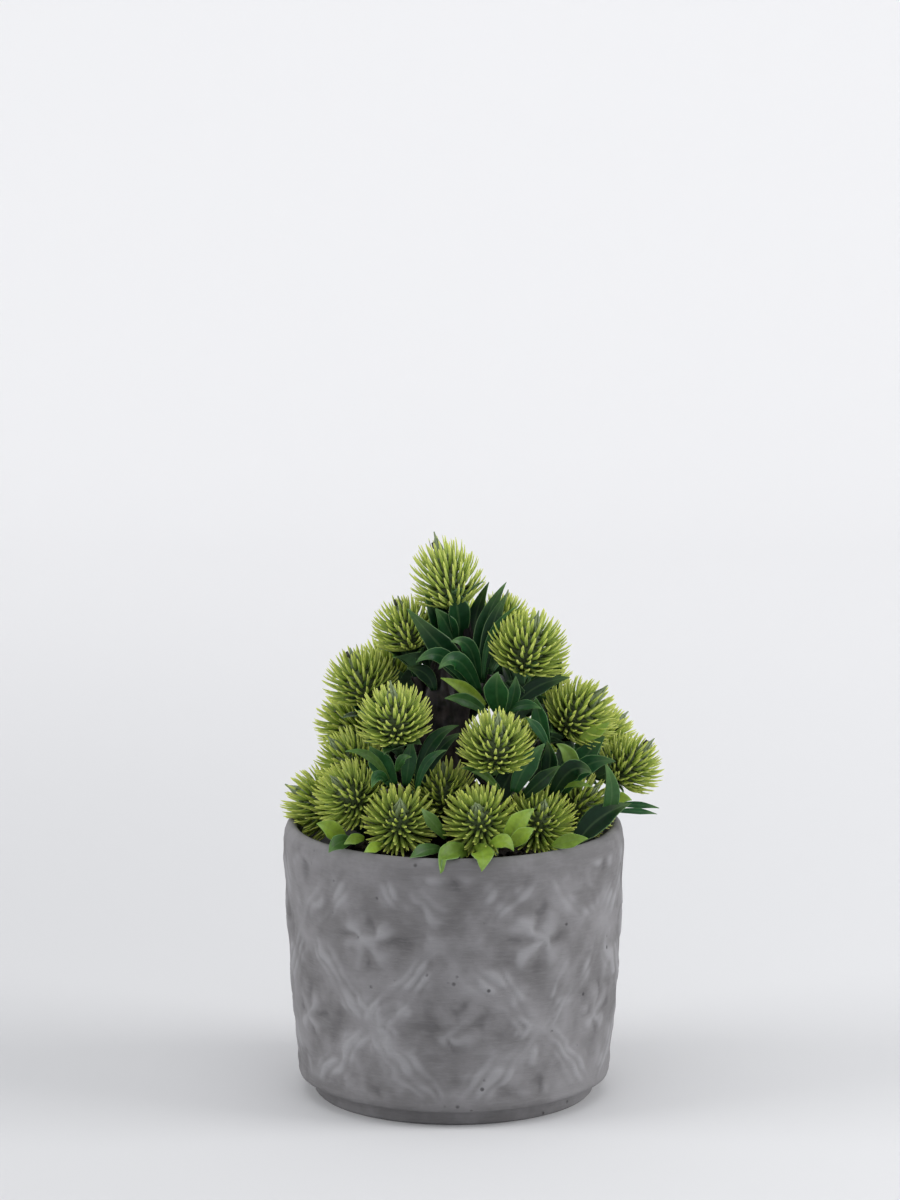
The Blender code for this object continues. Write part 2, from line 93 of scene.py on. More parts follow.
# Leaves placed one by one: spray, base, bend point and tip in millimetres, width, brightness.
LEAVES = [
    (1, (9, -15, 53.3), (-2.4, -21, 69), (-17.5, -21, 86.2), 9.5, 0.12),
    (1, (7, -17, 53.9), (-4.5, -27, 77), (-14.2, -31, 67.6), 6.0, 0.25),
    (1, (9.6, -17, 52.8), (1.8, -29, 75.4), (-5.7, -34, 65.8), 7.0, 0.25),
    (1, (9, -17, 57.1), (7.5, -27, 78.1), (-1.2, -31, 75.6), 6.0, 0.20),
    (1, (9.6, -13, 56), (7.5, -15, 78.2), (19.7, -13, 94.9), 7.0, 0.15),
    (1, (10.6, -15, 56.6), (12.2, -17, 78.7), (19.7, -15, 90.4), 6.0, 0.12),
    (1, (11.1, -17, 58.2), (10.6, -19, 79.2), (24.2, -17, 86.6), 2.6, 0.35),
    (1, (8, -9, 60.4), (4.9, -9, 78.8), (13.2, -7, 93.7), 7.0, 0.08),
    (3, (11.7, -18, 48.5), (4.9, -23, 57.1), (-5, -26, 60.8), 4.8, 0.85),
    (3, (12.2, -20, 45.8), (4.9, -27, 54.9), (-3.5, -30, 53.8), 5.0, 0.40),
    (3, (17.2, -26, 47.3), (14.8, -32, 57.3), (16.5, -34, 64.9), 9.5, 0.30),
    (3, (20.3, -26, 47.3), (22.9, -29, 55.4), (23.1, -30, 62.4), 5.0, 0.25),
    (3, (21.6, -22, 47.4), (28.8, -21, 58.7), (43.6, -18, 59.3), 6.5, 0.08),
    (3, (20.5, -26, 47.9), (26.8, -31, 53.8), (32.5, -32, 50.3), 4.0, 0.30),
    (2, (-7.6, -8, 52.3), (-9.2, -8, 60.9), (-18, -6, 60.4), 6.0, 0.10),
    (7, (-22.7, -34, 21.4), (-27.4, -36, 31.6), (-31.4, -38, 37.5), 9.0, 0.33),
    (7, (-18, -34, 21.4), (-16.8, -36, 31.6), (-15.8, -36, 39.4), 6.0, 0.28),
    (7, (-24.3, -34, 23), (-30, -42, 38), (-40.5, -44, 36.7), 3.4, 0.50),
    (7, (-13.9, -32, 20.8), (-10.8, -34, 41.9), (1.8, -34, 44.4), 5.5, 0.15),
    (7, (-12.8, -30, 19.2), (-7.6, -30, 36.5), (3.3, -30, 40.8), 5.0, 0.10),
    (7, (-13.9, -36, 19.7), (-11.8, -40, 34.8), (-2.4, -42, 36.8), 3.6, 0.30),
    (7, (-21.2, -38, 27.8), (-20.3, -43, 35), (-15.8, -45, 34.8), 3.6, 0.40),
    (7, (-25.3, -36, 23.5), (-28.5, -44, 30.5), (-30.6, -46, 23.2), 4.6, 0.35),
    (15, (16.9, -34, 20.3), (9, -40, 31), (2.8, -42, 29.7), 3.4, 0.45),
    (15, (16.5, -36, 19.7), (12.2, -42, 28.8), (6.8, -44, 28.9), 3.0, 0.50),
    (15, (22.5, -36, 19.3), (25.9, -38, 30.5), (33.9, -36, 37.9), 8.0, 0.30),
    (16, (33.2, -30, 19), (37.7, -34, 30.3), (34.7, -36, 39.1), 6.5, 0.06),
    (16, (46.1, -26, 18.7), (45, -30, 34), (38.1, -33, 37.1), 6.0, 0.62),
    (16, (41.2, -24, 18.2), (47.3, -24, 29.2), (56.8, -22, 37.8), 8.5, 0.24),
    (16, (41.2, -26, 16.3), (48, -32, 32.9), (60.6, -32, 30.1), 7.0, 0.20),
    (16, (36.6, -30, 15.8), (43.5, -38, 33.7), (51.5, -40, 27.5), 8.0, 0.07),
    (15, (25.9, -36, 17.4), (32.8, -40, 25.1), (39.3, -42, 30.8), 6.0, 0.10),
    (17, (54.1, -23, 1.3), (63.3, -26, 14.5), (56.4, -30, 29.4), 6.5, 0.40),
    (16, (40.4, -32, 19.9), (46.1, -38, 24.6), (51.8, -40, 22), 2.2, 0.65),
    (14, (45, -31, -3.4), (52.6, -30, 10.3), (66.7, -24, 12.2), 10.0, 0.06),
    (17, (58.7, -17, 11.6), (62.5, -18, 14), (67.1, -18, 12), 4.4, 0.92),
    (17, (60.2, -11, 8.4), (70.1, -10, 9.1), (77.8, -8, 6.6), 2.6, 0.30),
    (17, (60.2, -13, 6.6), (70.1, -12, 6.9), (77, -10, 4.7), 2.4, 0.28),
    (16, (35.1, -28, 35), (31.6, -30, 45.8), (30.5, -30, 54.5), 6.0, 0.33),
    (15, (35.1, -32, 36.1), (31.3, -36, 45), (26.7, -38, 48.3), 3.8, 0.28),
    (16, (47.3, -24, 37.1), (53, -24, 39.1), (58.3, -22, 42.9), 5.0, 0.75),
    (12, (19.4, -52, 1.8), (22.1, -60, 13.4), (29.7, -62, 19.1), 8.0, 0.85),
    (12, (20.2, -52, 1.8), (25.2, -62, 9.6), (29.7, -64, 12.1), 6.0, 0.85),
    (12, (13.3, -54, 2.4), (19.1, -64, 10.5), (22.1, -66, 3.9), 5.5, 0.80),
    (12, (5, -52, 0.3), (-2.7, -63, 5.5), (-5, -68, -4.2), 8.5, 0.62),
    (12, (7.6, -52, 0.3), (12.2, -63, 5.5), (10.3, -68, -3.4), 8.5, 0.75),
    (11, (-5.3, -52, 1.4), (-11.8, -60, 3.9), (-16.4, -63, -0.4), 5.5, 0.45),
    (11, (-26.3, -48, 1.6), (-29.7, -56, 3.7), (-33.2, -60, 2), 4.2, 0.90),
    (9, (-33.5, -46, 3.8), (-37, -50, 5.7), (-40.8, -54, 3.6), 4.2, 0.70),
    (9, (-38.1, -44, 2.5), (-43.1, -50, 4.9), (-46.5, -54, 0.4), 6.0, 0.45),
    (9, (-40.8, -40, 1.1), (-45, -44, 7.6), (-51.1, -46, 9.7), 7.0, 0.90),
    (13, (36.2, -46, 0.3), (42.7, -50, 4.9), (49.9, -50, 4.9), 5.5, 0.70),
    (11, (-3, -48, 4.7), (-8.4, -54, 12.6), (-12.2, -54, 17.4), 5.0, 0.50),
    (1, (0, -8, 72), (-5, -14, 80), (-11, -16, 91), 9.0, 0.10),
    (1, (2, -8, 72), (3, -15, 82), (-1, -18, 95), 9.0, 0.16),
    (1, (0, -9, 70), (-1, -15, 78), (-7, -19, 86), 7.5, 0.22),
    (2, (-9, 4, 58), (-10, 6, 68), (-12, 4, 81), 10.0, 0.08),
    (19, (11, 6, 56), (16, 9, 66), (19, 7, 78), 12.0, 0.08),
    (22, (11, 9, 42), (15, 11, 52), (16, 9, 66), 12.0, 0.06),
    (23, (2, 11, 34), (7, 11, 46), (9, 9, 60), 12.0, 0.04),
    (23, (4, 13, 12), (8, 11, 22), (11, 9, 36), 12.0, 0.04),
    (22, (27, 15, 38), (35, 15, 48), (41, 11, 60), 11.0, 0.08),
    (20, (38, 15, 26), (45, 13, 35), (50, 7, 46), 10.0, 0.10),
    (5, (-10, 10, 30), (-13, 10, 40), (-14, 8, 52), 11.0, 0.06),
    (25, (15, 17, 12), (21, 15, 21), (26, 10, 33), 11.0, 0.05),
    (24, (-18, 18, 14), (-22, 14, 24), (-21, 8, 36), 11.0, 0.05),
    (15, (12, -26, 20), (11, -25, 27), (9, -23, 36), 9.0, 0.06),
    (15, (15, -25, 13), (20, -24, 20), (24, -22, 29), 9.0, 0.08),
    (16, (43, -12, 18), (50, -10, 25), (56, -8, 33), 8.0, 0.10),
]

HEAD_BASE = 10.0
HEAD_SINKS = [1.2, 5.2, 4.6, 9.6]
HEAD_SHIFTS = {  # millimetres a head sits off its place in the row above
    1: (-1.0, 0.0, 0.0), 2: (1.2, 0.0, 0.0), 4: (2.5, 0.0, -1.0), 6: (5.0, 0.0, -2.0),
    7: (2.5, 0.0, -1.0), 8: (3.5, 0.0, -5.0), 9: (4.0, 0.0, 0.0), 10: (-4.0, -1.0, 0.0),
    11: (1.8, 0.0, -1.5), 12: (-0.5, 0.0, -1.8), 13: (-3.0, 0.0, -1.0), 17: (-2.0, 0.0, -3.5),
}
PEG = 1.3
SOCKET_DEPTH = 6.5
ELBOW_DROP = 9.2


def world(point):
    """A point given in millimetres from the rim plane, in metres in the row frame."""
    return Vector((point[0] * MM, point[1] * MM, (point[2] + RIM) * MM))


class Shape:
    """Gathers triangles and quads of one visible piece, with values per corner point."""

    def __init__(self):
        self.points = []
        self.faces = []
        self.values = {"along": [], "across": [], "tone": [], "under": []}

    def add(self, point, along=0.0, across=0.0, tone=0.0, under=0.0):
        self.points.append(tuple(point))
        for key, number in zip(self.values, (along, across, tone, under)):
            self.values[key].append(number)
        return len(self.points) - 1

    def make(self, name, material, body, node=None):
        mesh = bpy.data.meshes.new(name)
        mesh.from_pydata(self.points, [], self.faces)
        for key, numbers in self.values.items():
            layer = mesh.attributes.new(key, "FLOAT", "POINT")
            layer.data.foreach_set("value", numbers)
        mesh.polygons.foreach_set("use_smooth", [True] * len(mesh.polygons))
        mesh.materials.append(material)
        mesh.update()
        piece = bpy.data.objects.new(name, mesh)
        bpy.context.collection.objects.link(piece)
        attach(piece, body)
        if node:
            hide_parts(*([node] if isinstance(node, str) else node))
        return piece


def curve_point(a, b, c, t):
    """Point of a bend from a to c drawn towards b."""
    return a * (1 - t) ** 2 + b * (2 * t * (1 - t)) + c * t * t


def curve_run(a, b, c, t):
    return ((b - a) * (2 * (1 - t)) + (c - b) * (2 * t)).normalized()


def side_vectors(axis, hint=None):
    hint = hint or Vector((0.0, 0.0, 1.0))
    side = axis.cross(hint)
    if side.length < 1e-4:
        side = axis.cross(Vector((0.0, 1.0, 0.0)))
    side.normalize()
    return side, axis.cross(side).normalized()


def join_rings(shape, rings):
    """Quads from each ring of corner points to the next."""
    for low, high in zip(rings, rings[1:]):
        for k in range(len(low)):
            after = (k + 1) % len(low)
            shape.faces.append((low[k], low[after], high[after], high[k]))


def close_ring(shape, ring, centre, flip=False, **values):
    tip = shape.add(centre, **values)
    count = len(ring)
    for k in range(count):
        pair = (ring[k], ring[(k + 1) % count])
        shape.faces.append((pair[1], pair[0], tip) if flip else (pair[0], pair[1], tip))


def tube(shape, path, radii, sides, along=None, tone=0.0, flat=1.0, hint=None, under=0.0):
    """Closed tube through the path points; flat squeezes it along the second side vector."""
    rings = []
    count = len(path)
    for i, (point, radius) in enumerate(zip(path, radii)):
        ahead = path[min(i + 1, count - 1)] - path[max(i - 1, 0)]
        side, across = side_vectors(ahead.normalized(), hint)
        here = along[i] if along else i / (count - 1)
        ring = []
        for k in range(sides):
            turn = 2 * math.pi * k / sides
            offset = side * (math.cos(turn) * radius) + across * (math.sin(turn) * radius * flat)
            ring.append(shape.add(point + offset, here, math.cos(turn), tone, under))
        rings.append(ring)
    join_rings(shape, rings)
    first = along[0] if along else 0.0
    last = along[-1] if along else 1.0
    close_ring(shape, rings[0], path[0], flip=True, along=first, tone=tone, under=under)
    close_ring(shape, rings[-1], path[-1], along=last, tone=tone, under=under)
    return rings


# Materials

def group(name, inputs, outputs):
    """Empty shader node group with its named sockets."""
    tree = bpy.data.node_groups.new(name, "ShaderNodeTree")
    for label, kind, value in inputs:
        socket = tree.interface.new_socket(name=label, in_out="INPUT", socket_type=kind)
        if value is not None:
            socket.default_value = value
    for label, kind in outputs:
        tree.interface.new_socket(name=label, in_out="OUTPUT", socket_type=kind)
    return tree, tree.nodes.new("NodeGroupInput"), tree.nodes.new("NodeGroupOutput")


def node(tree, kind, settings=None, **values):
    """New node with its settings and with the defaults of its named inputs."""
    made = tree.nodes.new(kind)
    for key, value in (settings or {}).items():
        setattr(made, key, value)
    for key, value in values.items():
        made.inputs[key].default_value = value
    return made


def math_node(tree, operation, a, b=None, c=None, clamp=False):
    made = tree.nodes.new("ShaderNodeMath")
    made.operation = operation
    made.use_clamp = clamp
    for socket, value in zip(made.inputs, (a, b, c)):
        if value is None:
            continue
        if isinstance(value, (int, float)):
            socket.default_value = value
        else:
            tree.links.new(value, socket)
    return made.outputs[0]


def mix_colours(tree, factor, a, b, blend="MIX"):
    made = tree.nodes.new("ShaderNodeMix")
    made.data_type = "RGBA"
    made.blend_type = blend
    for socket, value in ((made.inputs[0], factor), (made.inputs[6], a), (made.inputs[7], b)):
        if isinstance(value, (int, float)):
            socket.default_value = value
        elif isinstance(value, tuple):
            socket.default_value = (*value, 1.0)
        else:
            tree.links.new(value, socket)
    return made.outputs[2]


def brightened(tree, colour, value):
    """Colour made lighter or darker by a changing value; 1 leaves it as it is."""
    made = tree.nodes.new("ShaderNodeHueSaturation")
    tree.links.new(colour, made.inputs["Color"])
    tree.links.new(value, made.inputs["Value"])
    return made.outputs["Color"]


def attribute(tree, name):
    made = tree.nodes.new("ShaderNodeAttribute")
    made.attribute_name = name
    return made.outputs["Fac"]


def remap(tree, value, low, high, to_low=0.0, to_high=1.0):
    made = tree.nodes.new("ShaderNodeMapRange")
    made.interpolation_type = "SMOOTHSTEP"
    tree.links.new(value, made.inputs["Value"])
    made.inputs["From Min"].default_value = low
    made.inputs["From Max"].default_value = high
    made.inputs["To Min"].default_value = to_low
    made.inputs["To Max"].default_value = to_high
    return made.outputs["Result"]


def grain_group():
    """Fine surface grain: a noise value and a bumped normal, at a scale and strength."""
    tree, start, end = group(
        "fine_grain",
        [("Scale", "NodeSocketFloat", 900.0), ("Strength", "NodeSocketFloat", 0.2),
         ("Depth", "NodeSocketFloat", 0.0002)],
        [("Value", "NodeSocketFloat"), ("Normal", "NodeSocketVector")],
    )
    place = tree.nodes.new("ShaderNodeTexCoord")
    noise = node(tree, "ShaderNodeTexNoise", {"noise_dimensions": "3D"}, Detail=4.0, Roughness=0.6)
    tree.links.new(place.outputs["Object"], noise.inputs["Vector"])
    tree.links.new(start.outputs["Scale"], noise.inputs["Scale"])
    bump = tree.nodes.new("ShaderNodeBump")
    tree.links.new(start.outputs["Strength"], bump.inputs["Strength"])
    tree.links.new(start.outputs["Depth"], bump.inputs["Distance"])
    tree.links.new(noise.outputs["Fac"], bump.inputs["Height"])
    tree.links.new(noise.outputs["Fac"], end.inputs["Value"])
    tree.links.new(bump.outputs["Normal"], end.inputs["Normal"])
    return tree


def use_group(tree, inner, **values):
    made = tree.nodes.new("ShaderNodeGroup")
    made.node_tree = inner
    for key, value in values.items():
        made.inputs[key].default_value = value
    return made


def new_material(name, roughness, specular=0.5):
    made = bpy.data.materials.new(name)
    made.use_nodes = True
    tree = made.node_tree
    shader = tree.nodes["Principled BSDF"]
    shader.inputs["Roughness"].default_value = roughness
    shader.inputs["Specular IOR Level"].default_value = specular
    return made, tree, shader


def dress(tree, shader, colour, normal):
    tree.links.new(colour, shader.inputs["Base Color"])
    tree.links.new(normal, shader.inputs["Normal"])


def let_light_in(shader, weight, radius, scale):
    """Light that goes a little way into thin plastic and comes out again."""
    shader.inputs["Subsurface Weight"].default_value = weight
    shader.inputs["Subsurface Radius"].default_value = radius
    shader.inputs["Subsurface Scale"].default_value = scale


def texture_at(tree, kind, place, **values):
    made = node(tree, kind, **values)
    tree.links.new(place, made.inputs["Vector"])
    return made


def needle_plastic(grain):
    """Needles: dark grey-green where they leave the core, partly painted shade deep in the head, bright yellow-green
    to a pale tip.
    """
    made, tree, shader = new_material("needle_plastic", 0.5, 0.35)
    along = attribute(tree, "along")
    tone = attribute(tree, "tone")
    # Dark grey-green at the needle feet and on the core: partly the needles' colour, partly painted shade inside the
    # head.
    low = mix_colours(tree, remap(tree, along, 0.05, 0.42), (0.088, 0.118, 0.062), (0.318, 0.412, 0.100))
    high = mix_colours(tree, remap(tree, along, 0.42, 0.95), low, (0.620, 0.665, 0.200))
    varied = math_node(tree, "MULTIPLY_ADD", tone, 0.5, 0.5, True)
    warm = mix_colours(tree, varied, high, (0.95, 1.0, 0.72), "MULTIPLY")
    bud = attribute(tree, "under")
    grey = mix_colours(tree, remap(tree, bud, 0.0, 0.5), warm, (0.190, 0.240, 0.130))
    dark = mix_colours(tree, remap(tree, bud, 0.5, 1.0), grey, (0.022, 0.024, 0.014))
    shade = use_group(tree, grain, Scale=700.0, Strength=0.12, Depth=0.0002)
    spots = remap(tree, shade.outputs["Value"], 0.3, 0.7, 0.88, 1.08)
    dress(tree, shader, brightened(tree, dark, spots), shade.outputs["Normal"])
    let_light_in(shader, 0.22, (0.9, 1.0, 0.3), 0.0012)
    return made


def leaf_plastic(grain):
    """Leaves: from deep blue-green to yellow-green by tone, with a pale rib and underside and a painted highlight
    along the margin.
    """
    made, tree, shader = new_material("leaf_plastic", 0.38, 0.24)
    tone = attribute(tree, "tone")
    along = attribute(tree, "along")
    across = math_node(tree, "ABSOLUTE", attribute(tree, "across"))
    under = attribute(tree, "under")
    dark = mix_colours(tree, remap(tree, tone, 0.0, 0.34), (0.0028, 0.018, 0.0070), (0.015, 0.076, 0.022))
    body = mix_colours(tree, remap(tree, tone, 0.30, 0.92), dark, (0.235, 0.345, 0.038))
    tipped = mix_colours(tree, remap(tree, along, 0.62, 1.0, 0.0, 0.30), body, (0.20, 0.33, 0.10))
    rib = remap(tree, across, 0.16, 0.02, 0.0, 0.12)
    # Painted highlight: the leaf is made lighter along its edges.
    margin = remap(tree, across, 0.90, 1.0, 0.0, 0.55)
    lined = mix_colours(tree, math_node(tree, "MAXIMUM", rib, margin), tipped, (0.24, 0.38, 0.16))
    paler = mix_colours(tree, math_node(tree, "MULTIPLY", under, 0.32), lined, (0.20, 0.33, 0.20))
    shade = use_group(tree, grain, Scale=420.0, Strength=0.16, Depth=0.0003)
    spots = remap(tree, shade.outputs["Value"], 0.3, 0.7, 0.85, 1.15)
    dress(tree, shader, brightened(tree, paler, spots), shade.outputs["Normal"])
    tree.links.new(remap(tree, shade.outputs["Value"], 0.3, 0.7, 0.30, 0.46), shader.inputs["Roughness"])
    let_light_in(shader, 0.10, (0.4, 1.0, 0.3), 0.0010)
    return made


def trunk_plastic(grain):
    made, tree, shader = new_material("trunk_plastic", 0.38, 0.35)
    shade = use_group(tree, grain, Scale=260.0, Strength=0.5, Depth=0.0006)
    # Lighter brown on the fold crests: partly the plastic's uneven colour, partly a painted highlight on the folds.
    fold_colour_and_highlight = remap(tree, shade.outputs["Value"], 0.35, 0.68)
    colour = mix_colours(tree, fold_colour_and_highlight, (0.0040, 0.0030, 0.0038), (0.030, 0.021, 0.021))
    dress(tree, shader, colour, shade.outputs["Normal"])
    tree.links.new(remap(tree, shade.outputs["Value"], 0.3, 0.7, 0.30, 0.52), shader.inputs["Roughness"])
    return made


def ground_layer(grain):
    made, tree, shader = new_material("ground_layer", 0.95, 0.2)
    shade = use_group(tree, grain, Scale=900.0, Strength=0.8, Depth=0.0008)
    tone = attribute(tree, "tone")
    colour = mix_colours(tree, remap(tree, tone, 0.0, 1.0), (0.006, 0.0045, 0.004), (0.035, 0.026, 0.018))
    speck = mix_colours(tree, remap(tree, shade.outputs["Value"], 0.45, 0.7), colour, (0.05, 0.038, 0.028))
    dress(tree, shader, speck, shade.outputs["Normal"])
    return made


def cast_cement():
    """Grey cast cement: darker in the hollows, dusty on the raised strokes, with pits and streaks."""
    made, tree, shader = new_material("cast_cement", 0.9, 0.25)
    relief = attribute(tree, "tone")
    place = tree.nodes.new("ShaderNodeTexCoord").outputs["Object"]
    stretch = texture_at(tree, "ShaderNodeMapping", place, Scale=(1.0, 1.0, 6.0))
    cloud = texture_at(tree, "ShaderNodeTexNoise", place, Scale=28.0, Detail=5.0, Roughness=0.55)
    streak = texture_at(tree, "ShaderNodeTexNoise", stretch.outputs["Vector"], Scale=170.0, Detail=4.0, Roughness=0.65)
    pits = texture_at(tree, "ShaderNodeTexVoronoi", place, Scale=190.0)
    thin = texture_at(tree, "ShaderNodeTexNoise", place, Scale=60.0, Detail=2.0)
    pit = math_node(
        tree, "MULTIPLY", remap(tree, pits.outputs["Distance"], 0.20, 0.07),
        remap(tree, thin.outputs["Fac"], 0.60, 0.66),
    )
    patch = texture_at(tree, "ShaderNodeTexNoise", place, Scale=75.0, Detail=3.0, Roughness=0.6)
    half_cloud = math_node(tree, "MULTIPLY", cloud.outputs["Fac"], 0.5)
    clouds = math_node(tree, "MULTIPLY_ADD", patch.outputs["Fac"], 0.5, half_cloud)
    base = mix_colours(tree, remap(tree, clouds, 0.40, 0.62), (0.160, 0.155, 0.157), (0.226, 0.220, 0.225))
    hollow = mix_colours(tree, remap(tree, relief, 0.34, 0.02, 0.0, 0.60), base, (0.085, 0.082, 0.084))
    dust = mix_colours(tree, remap(tree, relief, 0.28, 0.88, 0.0, 0.75), hollow, (0.335, 0.332, 0.342))
    wiped = remap(tree, streak.outputs["Fac"], 0.42, 0.70, 0.0, 0.22)
    lined = mix_colours(tree, wiped, dust, (0.26, 0.256, 0.262))
    pitted = mix_colours(tree, math_node(tree, "MULTIPLY", pit, 0.75), lined, (0.040, 0.038, 0.040))
    rough = node(tree, "ShaderNodeBump", Strength=0.45, Distance=0.0006)
    height = math_node(tree, "SUBTRACT", streak.outputs["Fac"], math_node(tree, "MULTIPLY", pit, 1.6))
    tree.links.new(height, rough.inputs["Height"])
    dress(tree, shader, pitted, rough.outputs["Normal"])
    return made


def foam_block(grain):
    """Green rigid foam with open cells."""
    made, tree, shader = new_material("foam_block", 0.95, 0.2)
    shade = use_group(tree, grain, Scale=1400.0, Strength=0.7, Depth=0.0005)
    cells = remap(tree, shade.outputs["Value"], 0.35, 0.65)
    green = mix_colours(tree, cells, (0.045, 0.12, 0.045), (0.12, 0.25, 0.11))
    dress(tree, shader, green, shade.outputs["Normal"])
    return made


def drawn_wire(grain):
    """Bare steel wire with faint drawing marks."""
    made, tree, shader = new_material("drawn_wire", 0.35, 0.5)
    shader.inputs["Metallic"].default_value = 1.0
    shade = use_group(tree, grain, Scale=500.0, Strength=0.1, Depth=0.0001)
    marks = remap(tree, shade.outputs["Value"], 0.3, 0.7)
    steel = mix_colours(tree, marks, (0.30, 0.30, 0.31), (0.42, 0.42, 0.43))
    dress(tree, shader, steel, shade.outputs["Normal"])
    return made


# Foliage

UP = Vector((0.0, 0.0, 1.0))
TOWARDS_FRONT = Vector((0.0, -1.0, 0.0))
NEEDLE_ROWS = [  # tip angle and root angle from the head's axis in degrees, count, share of reach
    (128, 150, 12, 0.66), (116, 142, 18, 0.84), (104, 134, 21, 0.99), (92, 122, 23, 1.0), (80, 106, 24, 1.0),
    (69, 92, 23, 1.0), (58, 78, 21, 1.0), (47, 64, 18, 1.0), (36, 50, 14, 1.0), (25, 36, 10, 1.0),
    (14, 22, 6, 1.0),
]
CORE_WIDE = 5.4
CORE_TALL = 8.4
CORE_MIDDLE = 9.2
NEEDLE_REACH = 14.7
DOME_MIDDLE = 9.8
BUD_RINGS = [(6, 2.3, 14.5, 0.86), (5, 1.5, 15.5, 0.96), (1, 0.0, 16.0, 1.04)]  # count, radius, foot, top
NEEDLE_HALF = [0.52, 0.64, 0.64, 0.52, 0.33, 0.12]
SPIKED = (1, 2, 4, 17)
RIM_INNER = 57.6
RIM_OUTER = 66.6
RIM_CLEAR = 0.9


def off_the_rim(point, lift=RIM_CLEAR):
    """Moves a point in millimetres off the pot's wall and rim, by the shorter way."""
    reach = math.hypot(point.x, point.y)
    if reach <= RIM_INNER or reach >= RIM_OUTER or point.z >= lift:
        return point
    if reach - RIM_INNER < lift - point.z:
        scale = RIM_INNER / reach
        return Vector((point.x * scale, point.y * scale, point.z))
    return Vector((point.x, point.y, lift))


def off_the_ground(point, lowest=GROUND - RIM + 1.2):
    inside = math.hypot(point.x, point.y) < RIM_OUTER
    return Vector((point.x, point.y, max(point.z, lowest))) if inside else point


class Spray:
    """Places of one spray, in millimetres from the middle of the rim plane."""

    def __init__(self, number, row):
        self.number = number
        self.name = f"spray_{number:02d}"
        self.whorl = row[0]
        self.centre = Vector(row[1])
        self.aim = Vector(row[2]).normalized()
        self.length = row[3]
        self.head_aim = Vector(row[4]).normalized()
        self.size = row[5]
        self.mouth = self.centre - self.aim * (HEAD_BASE + row[3])
        sink = HEAD_SINKS[self.whorl]
        self.tall = 1.30 if self.whorl == 3 else 1.0
        shift = Vector(HEAD_SHIFTS.get(number, (0.0, 0.0, 0.0)))
        self.head_base = self.centre + shift - self.head_aim * (HEAD_BASE * self.size + sink)
        self.bend = self.mouth + self.aim * (row[3] * 0.55)

    def on_stem(self, t):
        return curve_point(self.mouth, self.bend, self.head_base, t)


def needle(shape, path, half, axis, tone, along, under=0.0):
    points = [world(off_the_rim(point)) for point in path]
    tube(shape, points, [h * MM for h in half], 5, along, tone, 0.6, axis, under)


def head_core(shape, place, size):
    """Bumpy seed body that the needles grow from."""
    rings = 13
    sides = 22
    rows = []
    for i in range(1, rings):
        angle = math.pi * i / rings
        ring = []
        for k in range(sides):
            turn = 2 * math.pi * (k + 0.5 * (i % 2)) / sides
            bump = 1.0 + 0.05 * math.cos(5 * turn + i * 2.0)
            wide = CORE_WIDE * math.sin(angle) * bump * size
            tall = (CORE_MIDDLE - CORE_TALL * math.cos(angle)) * size
            ring.append(shape.add(place(math.cos(turn) * wide, math.sin(turn) * wide, tall), 0.03, 0.0, 0.5))
        rows.append(ring)
    join_rings(shape, rows)
    close_ring(shape, rows[0], place(0, 0, (CORE_MIDDLE - CORE_TALL) * size), flip=True, along=0.03)
    close_ring(shape, rows[-1], place(0, 0, (CORE_MIDDLE + CORE_TALL) * size), along=0.03)


def build_head(spray, material):
    shape = Shape()
    rng = random.Random(400 + spray.number)
    side, across = side_vectors(spray.head_aim, TOWARDS_FRONT + UP * 0.2)
    size = spray.size

    def local(x, y, z):
        return spray.head_base + side * x + across * y + spray.head_aim * (z * spray.tall)

    head_core(shape, lambda x, y, z: world(off_the_rim(local(x, y, z))), size)
    for tip_angle, root_angle, count, reach in NEEDLE_ROWS:
        shift = rng.random()
        for k in range(count):
            turn = 2 * math.pi * (k + shift + rng.uniform(-0.16, 0.16)) / count
            tip = math.radians(tip_angle + rng.uniform(-4.5, 4.5))
            root = math.radians(root_angle + rng.uniform(-3, 3))
            far = NEEDLE_REACH * reach * size * rng.uniform(0.94, 1.05)
            out = Vector((math.cos(turn), math.sin(turn), 0.0))
            wobble = turn + rng.uniform(-0.05, 0.05)
            tip_out = Vector((math.cos(wobble), math.sin(wobble), 0.0))
            start = out * (CORE_WIDE * math.sin(root) * 0.9 * size)
            start.z = (CORE_MIDDLE + CORE_TALL * 0.9 * math.cos(root)) * size
            end = tip_out * (far * math.sin(tip))
            end.z = DOME_MIDDLE * size + far * math.cos(tip) * (1.0 if tip_angle < 90 else 0.7)
            middle = (start + end) * 0.5 + out * (1.9 * math.sin(root) * size)
            middle.z -= 1.1 * size
            path = []
            for t in (0.0, 0.25, 0.5, 0.74, 0.92, 1.0):
                p = curve_point(start, middle, end, t)
                path.append(local(p.x, p.y, p.z))
            width = rng.uniform(0.92, 1.12) * size
            half = [share * width for share in NEEDLE_HALF]
            tone = rng.uniform(0.0, 1.0)
            needle(shape, path, half, spray.head_aim, tone, [0.0, 0.25, 0.5, 0.74, 0.92, 1.0])
    bud_scales(shape, spray, local, rng)
    return shape.make(f"{spray.name}_needles", material, spray.name, f"{spray.name}_head")


